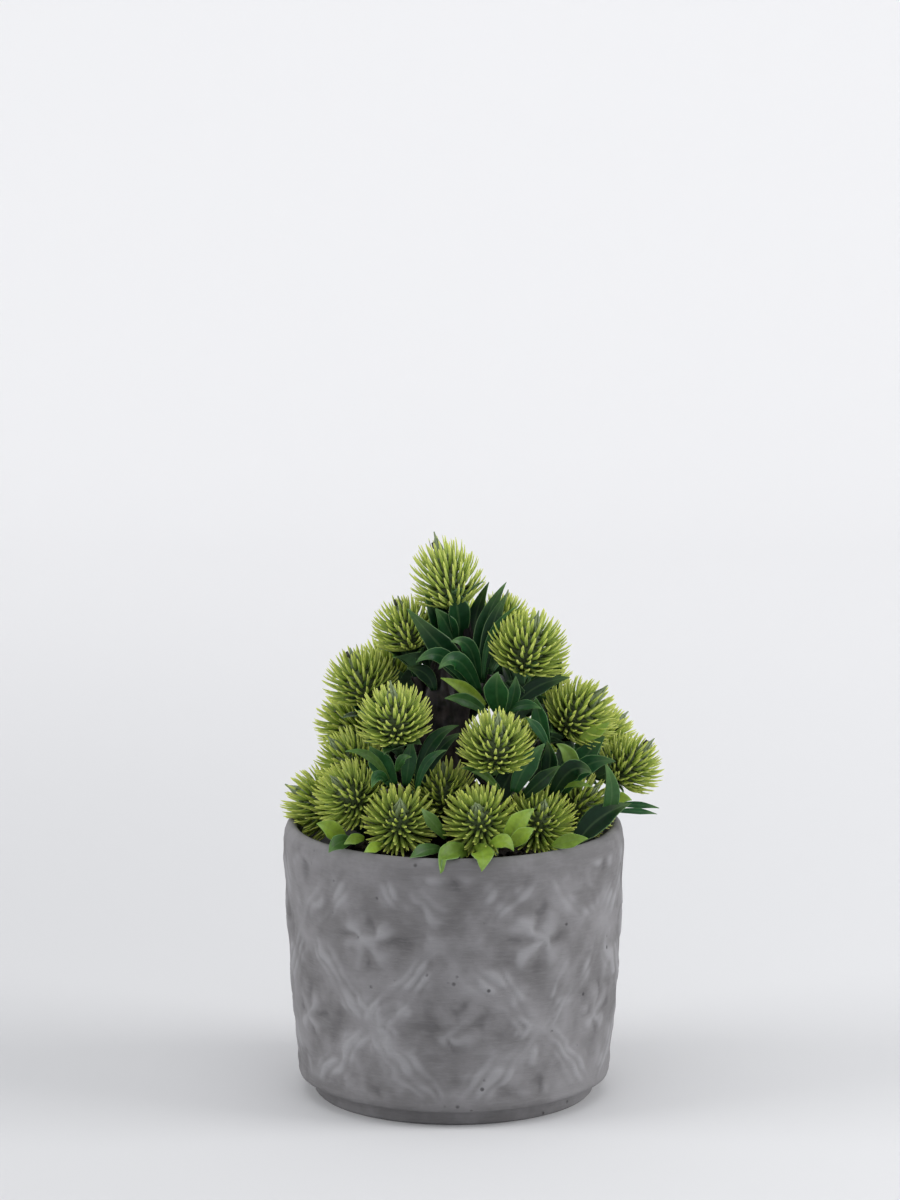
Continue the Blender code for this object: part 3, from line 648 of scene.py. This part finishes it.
def bud_scales(shape, spray, local, rng):
    """Closed bud at the top of a head: overlapping grey-green scales."""
    size = spray.size
    tall = rng.uniform(23.0, 26.0)
    for ring, (count, radius, foot, top) in enumerate(BUD_RINGS):
        for k in range(count):
            turn = 2 * math.pi * (k + 0.5 * ring) / count
            x, y = math.cos(turn) * radius * size, math.sin(turn) * radius * size
            end = 0.35 if count > 1 else 0.0
            path = [
                local(x, y, foot * size), local(x * 1.15, y * 1.15, (foot + 3.0) * size),
                local(x * 0.85, y * 0.85, (foot + tall * top) * 0.5 * size + 1.5),
                local(x * end, y * end, tall * top * size),
            ]
            half = [1.0 * size, 1.15 * size, 0.85 * size, 0.22 * size]
            along = [0.0, 0.12, 0.22, 0.34]
            needle(shape, path, half, spray.head_aim, rng.uniform(0.2, 0.7), along, 0.42)
    if spray.number in SPIKED:
        lean = local(-1.6, 0.0, 21.5 * size)
        path = [local(0, 0, 15.0 * size), local(-0.4, 0, 20.0 * size), lean, lean + spray.head_aim * 1.8]
        half = [1.3 * size, 1.35 * size, 1.1 * size, 0.5 * size]
        needle(shape, path, half, spray.head_aim, 0.5, [0.0, 0.1, 0.2, 0.3], 0.95)


LEAF_COLUMNS = [-1.0, -0.84, -0.45, -0.08, 0.08, 0.45, 0.84, 1.0]
LEAF_STEPS = 14
LEAF_TIERS = (6, 5)
BACK_TIERS = (9, 7)


def leaf_width(t):
    """Share of the full width along a leaf: narrow foot, widest past the middle, pointed tip."""
    foot = 0.40 + 0.60 * math.sin(min(1.0, t / 0.55) * math.pi / 2)
    point = min(1.0, (1.0 - t) / 0.42) ** 0.85
    return foot * point


def blade(shape, base, bend, tip, width, tone, hint, fold=0.20, twist=0.0, thick=0.42):
    """Thin two-sided leaf along a bend; the hint is the way its upper face looks."""
    rings = []
    for i in range(LEAF_STEPS + 1):
        t = i / LEAF_STEPS
        middle = curve_point(base, bend, tip, t)
        ahead = curve_run(base, bend, tip, t)
        side = ahead.cross(hint)
        side = side.normalized() if side.length > 1e-4 else ahead.cross(UP + TOWARDS_FRONT).normalized()
        if twist:
            side = Matrix.Rotation(twist * (t - 0.3), 3, ahead) @ side
        face = side.cross(ahead).normalized()
        half = max(width * 0.5 * leaf_width(t), 0.10)
        skin = thick * 0.5 * (1.0 - 0.55 * t)
        upper = []
        lower = []
        for u in LEAF_COLUMNS:
            trough = fold * half * (abs(u) ** 1.4 - 0.35) - 0.05 * half * abs(u) ** 6
            wave = 0.03 * width * u * math.sin(t * 8.0 + tone * 20.0)
            at = middle + side * (u * half) + face * (trough + wave)
            rim = 1.0 - 0.65 * abs(u) ** 4
            rib = 0.22 * (1.0 - t) if abs(u) < 0.1 else 0.0
            top = world(off_the_rim(off_the_ground(at + face * skin * rim)))
            under = world(off_the_rim(off_the_ground(at - face * (skin * rim + rib)), RIM_CLEAR - 0.3))
            upper.append(shape.add(top, t, u, tone, 0.0))
            lower.append(shape.add(under, t, u, tone, 1.0))
        rings.append(upper + lower[::-1])
    count = len(rings[0])
    for low, high in zip(rings, rings[1:]):
        for k in range(count):
            after = (k + 1) % count
            shape.faces.append((low[k], high[k], high[after], low[after]))
    shape.faces.append(tuple(rings[0]))
    shape.faces.append(tuple(reversed(rings[-1])))


def tier_leaves(shape, spray, rng):
    """Leaves around the stem: a lower spreading tier and an upper tier that sheathes it."""
    side, across = side_vectors(spray.aim, TOWARDS_FRONT)
    behind = spray.centre.y > 10
    for tier, count in enumerate(BACK_TIERS if behind else LEAF_TIERS):
        start = rng.uniform(0, 2 * math.pi)
        for k in range(count):
            turn = start + 2 * math.pi * (k + rng.uniform(-0.12, 0.12)) / count
            out = side * math.cos(turn) + across * math.sin(turn)
            if tier == 0:
                foot = spray.on_stem(rng.uniform(0.05, 0.25))
                run = rng.uniform(16, 23) + (5.0 if behind else 0.0)
                lean = math.radians(rng.uniform(30, 50))
                curl = math.radians(rng.uniform(15, 60))
                width = rng.uniform(6.5, 9.0) + (2.5 if behind else 0.0)
            else:
                foot = spray.on_stem(rng.uniform(0.25, 0.45))
                run = rng.uniform(12, 16) + spray.length * 0.2
                lean = math.radians(rng.uniform(8, 24))
                curl = math.radians(rng.uniform(10, 60))
                width = rng.uniform(6.0, 8.0)
            rise = spray.aim * math.cos(lean * 0.5) + out * math.sin(lean * 0.5)
            fall = spray.aim * math.cos(lean + curl) + out * math.sin(lean + curl)
            bend = foot + rise * (run * 0.55)
            tip = bend + fall * (run * 0.5)
            tone = rng.choice((0.04, 0.08, 0.12, 0.18, 0.24, 0.36))
            face = spray.aim - out * 0.6
            blade(shape, foot + out * 1.0, bend, tip, width, tone, face, fold=rng.uniform(0.15, 0.40))


def build_foliage(spray, material):
    """Stem with its peg, its tiers of leaves and the leaves shaped one by one."""
    shape = Shape()
    rng = random.Random(900 + spray.number)
    peg_foot = spray.mouth - spray.aim * (SOCKET_DEPTH - 0.3)
    top = spray.head_base + spray.head_aim * 1.0
    path = [peg_foot, spray.mouth - spray.aim * 0.2, spray.mouth + spray.aim * 0.3]
    radii = [PEG, PEG, 1.7]
    for i in range(1, 9):
        path.append(curve_point(spray.mouth, spray.bend, top, i / 8))
        radii.append(1.7 + 1.1 * (i / 8) ** 3)
    hint = side_vectors(spray.aim, TOWARDS_FRONT)[1]
    tube(shape, [world(p) for p in path], [r * MM for r in radii], 10, tone=0.12, hint=hint)
    tier_leaves(shape, spray, rng)
    for number, base, bend, tip, width, tone in LEAVES:
        if number != spray.number:
            continue
        face = (TOWARDS_FRONT + UP * 0.35 + Vector((rng.uniform(-0.3, 0.3), 0, 0))).normalized()
        blade(
            shape, Vector(base), Vector(bend), Vector(tip), width, tone, face,
            fold=rng.uniform(0.15, 0.35), twist=rng.uniform(-0.7, 0.7),
        )
    return shape.make(f"{spray.name}_leaves", material, spray.name, f"{spray.name}_stem")


# Trunk and ground

GROUND_HOLE = 5.15
CRUMBS = 420
# The trunk is drawn thicker than the moulded column, so its dark plastic also fills the shade round it: partly trunk,
# partly painted shade.
TRUNK_THICK = 10.0


def rough(x, y, z):
    """Smooth repeatable unevenness between -1 and 1."""
    first = math.sin(x * 1.7 + y * 0.9 + 1.3)
    second = math.sin(y * 2.3 - z * 1.1 + 0.4)
    third = math.sin(z * 1.9 + x * 0.7 + 2.2)
    return (first + second + third) / 3.0


def lathe(shape, stations, sides, shift=0.0, tone=0.0):
    """Closed turned body from (radius, height, ridge) stations; it starts and ends on the axis."""
    rows = []
    for radius, height, ridge in stations[1:-1]:
        ring = []
        for k in range(sides):
            turn = 2 * math.pi * k / sides
            ribs = 0.09 * math.sin(7 * turn + height * 0.10) + 0.06 * math.sin(3 * turn - height * 0.21)
            seam = 0.07 * max(0.0, 1.0 - abs(math.sin(turn)) * 6.0)
            r = radius * (1.0 + ridge * (ribs + seam + 0.04 * rough(turn * 3, height * 0.4, radius)))
            corner = world((shift + r * math.cos(turn), r * math.sin(turn), height))
            ring.append(shape.add(corner, tone=tone))
        rows.append(ring)
    join_rings(shape, rows)
    close_ring(shape, rows[0], world((shift, 0, stations[0][1])), flip=True, tone=tone)
    close_ring(shape, rows[-1], world((shift, 0, stations[-1][1])), tone=tone)


def socket_arm(shape, spray):
    """Arm from inside the trunk, round its elbow, to the mouth and down its blind bore."""
    elbow = spray.mouth - spray.aim * ELBOW_DROP
    root = Vector((TRUNK_X, 0.0, WHORLS[spray.whorl]))
    level = Vector((elbow.x - root.x, elbow.y - root.y, 0.0)).normalized()
    root += level * 2.6
    hint = (elbow - root).cross(spray.aim)
    if hint.length < 1e-3:
        hint = spray.aim.cross(Vector((1.0, 0.0, 0.0)))
    hint.normalize()
    stations = []
    for i in range(5):
        stations.append((root.lerp(elbow, i / 5 * 0.86), 2.9 - 0.12 * i))
    for i in range(5):
        t = i / 4
        low = root.lerp(elbow, 0.80)
        high = elbow.lerp(spray.mouth, 0.22)
        stations.append((curve_point(low, elbow, high, t), 2.45))
    stations += [(elbow.lerp(spray.mouth, 0.5), 2.2), (elbow.lerp(spray.mouth, 0.8), 2.2)]
    stations += [(spray.mouth - spray.aim * 0.6, 2.45), (spray.mouth, 2.35)]
    bore = PEG + 0.3
    inner = [(spray.mouth, bore), (spray.mouth - spray.aim * SOCKET_DEPTH, bore)]
    rows = []
    sides = 12
    everything = stations + inner
    for i, (point, radius) in enumerate(everything):
        if i >= len(stations) - 3:
            ahead = spray.aim
        else:
            ahead = (everything[i + 1][0] - everything[max(i - 1, 0)][0]).normalized()
        side, across = side_vectors(ahead, hint)
        ring = []
        for k in range(sides):
            turn = 2 * math.pi * k / sides
            wide = radius
            if i < len(stations):
                wide *= 1.0 + 0.05 * rough(point.x + turn, point.y, point.z * 0.5)
            offset = side * (math.cos(turn) * wide) + across * (math.sin(turn) * wide)
            ring.append(shape.add(world(point + offset)))
        rows.append(ring)
    join_rings(shape, rows)
    close_ring(shape, rows[0], world(everything[0][0]), flip=True)
    close_ring(shape, rows[-1], world(everything[-1][0]))


def build_trunk(sprays, material):
    shape = Shape()
    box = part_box("trunk")
    foot = box[0].z / MM - RIM
    top = box[1].z / MM - RIM
    core_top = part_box("trunk_core")[1].z / MM - RIM + 0.3
    ground = GROUND - RIM
    stations = [(0.0, core_top, 0), (1.5, core_top, 0), (1.5, foot, 0), (4.2, foot, 0), (4.8, foot + 1.0, 0)]
    stations += [(4.8, ground + 0.2, 0), (5.9, ground + 1.4, 0)]
    steps = 60
    for i in range(1, steps):
        z = ground + 2.0 + (top - 1.5 - ground - 2.0) * i / steps
        taper = TRUNK_THICK - 0.8 * max(0.0, z) / 46 - 6.0 * smooth(z, 47.0, 66.0)
        hub = sum(math.exp(-((z - w) / 2.6) ** 2) for w in WHORLS)
        stations.append((taper + 0.7 * hub, z, min(1.0, i / 4)))
    stations += [(2.9, top - 0.4, 0.5), (1.6, top, 0.2), (0.0, top, 0)]
    lathe(shape, stations, 36, TRUNK_X)
    for spray in sprays:
        socket_arm(shape, spray)
    return shape.make("moulded_trunk", material, "trunk_body", "trunk")


def lump(shape, rng, at, size):
    """One crumb of the ground layer: an uneven seven-sided chunk."""
    rings = []
    spin = rng.uniform(0, math.pi)
    stretch = rng.uniform(0.6, 1.5)
    tone = rng.random()
    for level, share in ((-0.75, 0.6), (0.0, 1.0), (0.7, 0.62)):
        ring = []
        for k in range(7):
            turn = 2 * math.pi * k / 7 + spin
            r = size * share * rng.uniform(0.75, 1.2)
            x = math.cos(turn) * r * stretch
            y = math.sin(turn) * r
            across = Matrix.Rotation(spin, 3, "Z") @ Vector((x, y, 0.0))
            up = size * level * rng.uniform(0.7, 1.1)
            ring.append(shape.add(world(at + across + UP * up), tone=tone))
        rings.append(ring)
    join_rings(shape, rings)
    close_ring(shape, rings[0], world(at - UP * size * 0.9), flip=True, tone=tone)
    close_ring(shape, rings[-1], world(at + UP * size * 0.85), tone=tone)


def build_ground(material):
    """Dark uneven ground layer round the trunk, with crumbs of it lying on top."""
    shape = Shape()
    low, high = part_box("ground_cover")
    bottom = low.z / MM - RIM
    wall = high.x / MM - 0.35
    hole = GROUND_HOLE
    sides = 120
    profile = [(0.0, bottom), (1.0, bottom)]
    tops = 18
    rows = []
    for share, height in profile:
        rows.append(ground_ring(shape, sides, share, hole, wall, lambda turn, s: height))
    for i in range(tops, -1, -1):
        share = i / tops
        rows.append(ground_ring(shape, sides, share, hole, wall, ground_height))
    join_rings(shape, rows + rows[:1])
    rng = random.Random(77)
    for _ in range(CRUMBS):
        reach = math.sqrt(rng.uniform(0.02, 1.0)) * (wall - 3.5)
        turn = rng.uniform(0, 2 * math.pi)
        at = Vector((reach * math.cos(turn), reach * math.sin(turn), GROUND - RIM - 0.4))
        if math.hypot(at.x - TRUNK_X, at.y) < 9.5:
            continue
        lump(shape, rng, at, rng.uniform(0.7, 1.9))
    return shape.make("ground_layer", material, "pot_body", "ground_cover")


def ground_height(turn, share):
    near_wall = max(0.0, share - 0.8) / 0.2
    rise = 0.45 * rough(turn * 9, share * 14, turn * 5) + 0.3 * rough(share * 31, turn * 23, 0.0)
    return GROUND - RIM - 0.7 - 1.2 * near_wall + rise * min(1.0, share * 5)


def ground_ring(shape, sides, share, hole, wall, height):
    ring = []
    for k in range(sides):
        turn = 2 * math.pi * k / sides
        near = Vector((TRUNK_X + hole * math.cos(turn), hole * math.sin(turn), 0))
        far = Vector((wall * math.cos(turn), wall * math.sin(turn), 0))
        at = near.lerp(far, share)
        tone = 0.5 + 0.5 * rough(at.x * 0.7, at.y * 0.6, 1.0)
        ring.append(shape.add(world((at.x, at.y, height(turn, share))), tone=tone))
    return ring


# Pot

POT_OUTER = [
    (52.4, 0.0), (53.3, 0.9), (53.4, 5.6), (54.0, 6.1), (57.4, 6.3), (59.0, 7.2), (59.5, 8.8),
    (59.8, 14.6), (60.8, 26.6), (62.0, 40.7), (62.8, 53.7), (63.4, 66.7), (63.9, 79.4),
    (64.7, 92.0), (64.8, 98.0), (64.4, 101.5), (63.6, 103.6), (62.5, 104.8), (61.6, 105.0),
]
POT_INNER = [
    (60.6, 104.8), (59.8, 103.8), (59.4, 101.5), (59.3, 98.0), (59.2, 92.0), (58.4, 79.4),
    (57.9, 66.7), (56.5, 40.7), (54.9, 17.85), (54.0, 12.5), (51.0, 9.5),
]
CELL_ACROSS = 32.5
CELL_RISE = 33.0
CELL_LEVEL = 39.0
STROKE_PITCH = 4.3
FACE_LEVEL = 0.36  # relief value of the plain face
RELIEF_DEPTH = 1.15
DENT_DEPTH = 0.6
MIDDLE_RADIUS = 62.0
POT_SIDES = 440
WALL_ROWS = 158


def smooth(value, low, high):
    t = np.clip((value - low) / (high - low), 0.0, 1.0)
    return t * t * (3 - 2 * t)


def stripes(distance, pitch, sharp=1.3):
    return (0.5 + 0.5 * np.cos(2 * math.pi * distance / pitch)) ** sharp


def patches(turn, height, around, step, seed):
    """Repeatable soft blotches round the pot, 0 to 1: so many around, step millimetres high."""
    grid = np.random.RandomState(seed).rand(64, around)
    a = (turn / (2 * math.pi) * around) % around
    b = height / step + 2.0
    i, j = np.floor(a).astype(int), np.floor(b).astype(int)
    s, t = smooth(a - i, 0.0, 1.0), smooth(b - j, 0.0, 1.0)
    low = grid[j, i % around] * (1 - s) + grid[j, (i + 1) % around] * s
    high = grid[j + 1, i % around] * (1 - s) + grid[j + 1, (i + 1) % around] * s
    return low * (1 - t) + high * t


def burst(x, y):
    """Strokes that run to a crossing of the lattice: two feathered arms above it, a full fan below."""
    reach = np.hypot(x, y)
    lean = np.abs(np.arctan2(np.abs(x), -y))
    fan = (1 - smooth(lean, 0.80, 1.35)) * (1 - smooth(reach, 18, 28))
    arm = (1 - smooth(np.abs(lean - 2.3), 0.15, 0.60)) * (1 - smooth(reach, 22, 34))
    turn = np.arctan2(y, x) * 16 / (2 * math.pi) + 0.12 * np.sin(reach * 0.5)
    strokes = stripes(turn, 1.0, 0.8) * (0.78 + 0.22 * np.cos(reach * 0.55 + 3 * np.round(turn)))
    glow = np.exp(-((reach / 6.5) ** 2))
    side_arm = (1 - smooth(np.abs(lean - 0.95), 0.08, 0.40)) * (1 - smooth(reach, 22, 33))
    body = np.maximum(np.maximum(fan * 0.72, side_arm), arm)
    return np.maximum(body * smooth(reach, 3.0, 8.0) * (0.42 + 0.58 * strokes), 0.85 * glow)


def star(x, y, size):
    """Small cross in the middle of a cell: four bright lobes on the diagonals, dark pits between."""
    reach = np.hypot(x, y) / size
    turn = np.arctan2(y, x)
    diagonal = np.abs(np.sin(2 * turn))
    lobes = (0.25 + 0.75 * diagonal ** 2) * (1 - smooth(reach, 5.0, 11.0))
    core = np.exp(-((reach / 2.6) ** 2))
    pits = (1 - diagonal) ** 1.5 * np.exp(-(((reach - 6.2) / 2.6) ** 2))
    return np.maximum(lobes * 0.86, core * 0.95), pits


def pot_relief(turn, height):
    """Raised pattern, 0 in the hollows to 1 on the strokes, over angle and height."""
    wander = patches(turn, height, 44, 9.0, 5) - 0.5
    waver = patches(turn, height, 90, 4.5, 8) - 0.5
    arc = turn * MIDDLE_RADIUS + 4.0 * wander + 1.6 * waver
    lift = height + 4.0 * (patches(turn, height, 40, 10.0, 6) - 0.5) + 1.4 * waver
    worn = 0.34 + 0.66 * smooth(patches(turn, height, 62, 6.5, 7), 0.20, 0.75)
    u = arc / CELL_ACROSS + (lift - CELL_LEVEL) / CELL_RISE
    v = arc / CELL_ACROSS - (lift - CELL_LEVEL) / CELL_RISE
    du, dv = u % 2 - 1, v % 2 - 1
    x, y = (du + dv) / 2 * CELL_ACROSS, (du - dv) / 2 * CELL_RISE
    level = lift - y
    low_row = (np.abs(level - CELL_LEVEL) < 5.0).astype(float)
    cu, cv = (u + 1) % 2 - 1, (v + 1) % 2 - 1
    sx, sy = (cu + cv) / 2 * CELL_ACROSS, (cu - cv) / 2 * CELL_RISE
    upper_cell = (lift - sy > CELL_LEVEL + 15).astype(float)
    border = np.maximum(np.abs(du), np.abs(dv))
    bands = low_row * burst(x, y) * (1 - smooth(border, 0.70, 0.98))
    for across, flip in ((du, 1.0), (dv, -1.0)):
        edge = np.abs(across) * 22.7
        slant = arc * 0.80 * flip + lift * 0.60
        strokes = stripes(slant, STROKE_PITCH, 0.8) * (0.35 + 0.65 * worn)
        quiet = 1.0 - 0.75 * np.exp(-((np.hypot(x, y) / 11.0) ** 2)) * (1 - low_row)
        stroke = (1 - smooth(edge, 2.0, 11.5)) * quiet * (0.40 + 0.50 * strokes)
        halo = (1 - smooth(edge, 5.0, 20.0)) * 0.36 * worn
        bands = np.maximum(bands, np.maximum(stroke, halo))
    lobes, pits = star(sx + 2.2 * waver, sy - 2.4 * wander + 1.4 * waver, 1.45)
    small, small_pits = star(sx + 3.0 * waver, sy - 1.0 + 3.0 * wander, 1.15)
    lobes = upper_cell * lobes + (1 - upper_cell) * 0.75 * small
    pits = upper_cell * pits + (1 - upper_cell) * 0.7 * small_pits
    raised = np.maximum(bands * worn, lobes * (0.50 + 0.50 * worn))
    field = 0.24 + 0.74 * raised - 0.34 * pits + 0.22 * waver + 0.14 * wander
    inside = smooth(height, 8.5, 13.5) * (1 - smooth(height, 96.5, 100.0))
    return np.clip(field, 0.0, 1.0) * inside + FACE_LEVEL * (1 - inside)


def build_pot(material):
    """Cast pot with a thick wall; the pattern is raised and sunk round its outer face."""
    sides = POT_SIDES
    heights = np.array([z for _, z in POT_OUTER])
    radii = np.array([r for r, _ in POT_OUTER])
    plain_foot = list(zip(radii[:7], heights[:7]))
    wall_heights = np.linspace(8.8, 101.5, WALL_ROWS)[1:]
    turn = 2 * math.pi * np.arange(sides) / sides
    rows = [(np.full(sides, r), np.full(sides, z), np.full(sides, FACE_LEVEL)) for r, z in plain_foot]
    for z in wall_heights:
        level = np.full(sides, z)
        front = (turn + math.pi / 2 + math.pi) % (2 * math.pi) - math.pi
        relief = pot_relief(front, level)
        dent = 0.25 * np.sin(3 * turn + z * 0.04) + 0.15 * np.sin(8 * turn - z * 0.07)
        r = np.interp(z, heights[6:], radii[6:]) + RELIEF_DEPTH * (relief - FACE_LEVEL) + dent * DENT_DEPTH
        rows.append((r, level, relief))
    for r, z in list(zip(radii, heights))[-3:] + POT_INNER:
        rows.append((np.full(sides, r), np.full(sides, z), np.full(sides, 0.40)))
    shape = Shape()
    rings = []
    for r, z, relief in rows:
        ring = []
        for k in range(sides):
            point = (r[k] * math.cos(turn[k]) * MM, r[k] * math.sin(turn[k]) * MM, z[k] * MM)
            ring.append(shape.add(point, tone=float(relief[k])))
        rings.append(ring)
    join_rings(shape, rings)
    close_ring(shape, rings[0], (0.0, 0.0, 0.0), flip=True, tone=FACE_LEVEL)
    close_ring(shape, rings[-1], (0.0, 0.0, POT_INNER[-1][1] * MM), tone=FACE_LEVEL)
    return shape.make("cement_pot", material, "pot_body", "pot")


# Stage

def build_stage():
    """Pale sweep: a floor that turns up into a backdrop, with painted shade on the left of the floor and painted light
    towards the back.
    """
    paper, tree, shader = new_material("pale_paper", 0.9, 0.2)
    place = tree.nodes.new("ShaderNodeTexCoord")
    apart = tree.nodes.new("ShaderNodeSeparateXYZ")
    tree.links.new(place.outputs["Object"], apart.inputs[0])
    # Painted light: the paper grows lighter towards the backdrop; painted shade darkens the floor's left side.
    painted_backdrop_light = remap(tree, apart.outputs["Y"], 0.15, 1.3)
    painted_left_shade = remap(tree, apart.outputs["X"], -0.3, 0.3)
    floor = mix_colours(tree, painted_left_shade, (0.66, 0.66, 0.665), (0.75, 0.75, 0.755))
    tone = mix_colours(tree, painted_backdrop_light, floor, (0.915, 0.91, 0.91))
    tree.links.new(tone, shader.inputs["Base Color"])
    wide = 20.0
    profile = [(-20.0, 0.0), (1.1, 0.0)]
    for i in range(1, 13):
        angle = math.pi / 2 * i / 12
        profile.append((1.1 + 0.9 * math.sin(angle), 0.9 * (1 - math.cos(angle))))
    profile.append((2.0, 4.0))
    points = []
    for y, z in profile:
        points += [(-wide, y, z), (wide, y, z)]
    faces = [(2 * i, 2 * i + 1, 2 * i + 3, 2 * i + 2) for i in range(len(profile) - 1)]
    mesh = bpy.data.meshes.new("sweep")
    mesh.from_pydata(points, [], faces)
    mesh.polygons.foreach_set("use_smooth", [True] * len(faces))
    mesh.materials.append(paper)
    sweep = bpy.data.objects.new("sweep", mesh)
    bpy.context.collection.objects.link(sweep)


SOFTBOXES = [  # name, place and aim in metres, size, power in watts
    ("softbox_left", (-1.9, -0.45, 1.0), (0, 0, 0.12), (1.2, 1.6), 20.0),
    ("softbox_right", (1.9, -0.35, 0.9), (0, 0, 0.12), (1.1, 1.6), 26.0),
    ("softbox_top", (0.0, -0.5, 2.2), (0, 0.1, 0.0), (2.0, 2.0), 10.0),
]


def area_light(name, place, target, size, power):
    data = bpy.data.lights.new(name, "AREA")
    data.shape = "RECTANGLE"
    data.size, data.size_y = size
    data.energy = power
    made = bpy.data.objects.new(name, data)
    made.location = place
    made.rotation_euler = (Vector(target) - Vector(place)).to_track_quat("-Z", "Y").to_euler()
    bpy.context.collection.objects.link(made)


def build_lights():
    world_light = bpy.data.worlds.new("soft_room")
    world_light.use_nodes = True
    back = world_light.node_tree.nodes["Background"]
    back.inputs["Color"].default_value = (0.93, 0.95, 1.0, 1.0)
    back.inputs["Strength"].default_value = 0.58
    bpy.context.scene.world = world_light
    for light in SOFTBOXES:
        area_light(*light)


def build_camera():
    data = bpy.data.cameras.new("camera")
    data.lens = 170.0
    data.sensor_width = 36.0
    camera = bpy.data.objects.new("camera", data)
    place = Vector((0.0, -2.1, 0.605))
    target = Vector((-0.0015, 0.0, 0.1904))
    camera.location = place
    camera.rotation_euler = (target - place).to_track_quat("-Z", "Y").to_euler()
    bpy.context.collection.objects.link(camera)
    bpy.context.scene.camera = camera


def main():
    build_camera()
    build_lights()
    build_stage()
    grain = grain_group()
    needles = needle_plastic(grain)
    leaves = leaf_plastic(grain)
    sprays = [Spray(number, row) for number, row in enumerate(SPRAYS, 1)]
    for spray in sprays:
        build_head(spray, needles)
        build_foliage(spray, leaves)
    build_trunk(sprays, trunk_plastic(grain))
    build_ground(ground_layer(grain))
    build_pot(cast_cement())
    frame["nodes"]["foam_plug"].data.materials[0] = foam_block(grain)
    frame["nodes"]["trunk_core"].data.materials[0] = drawn_wire(grain)
    bpy.context.scene.view_settings.view_transform = "Standard"


main()
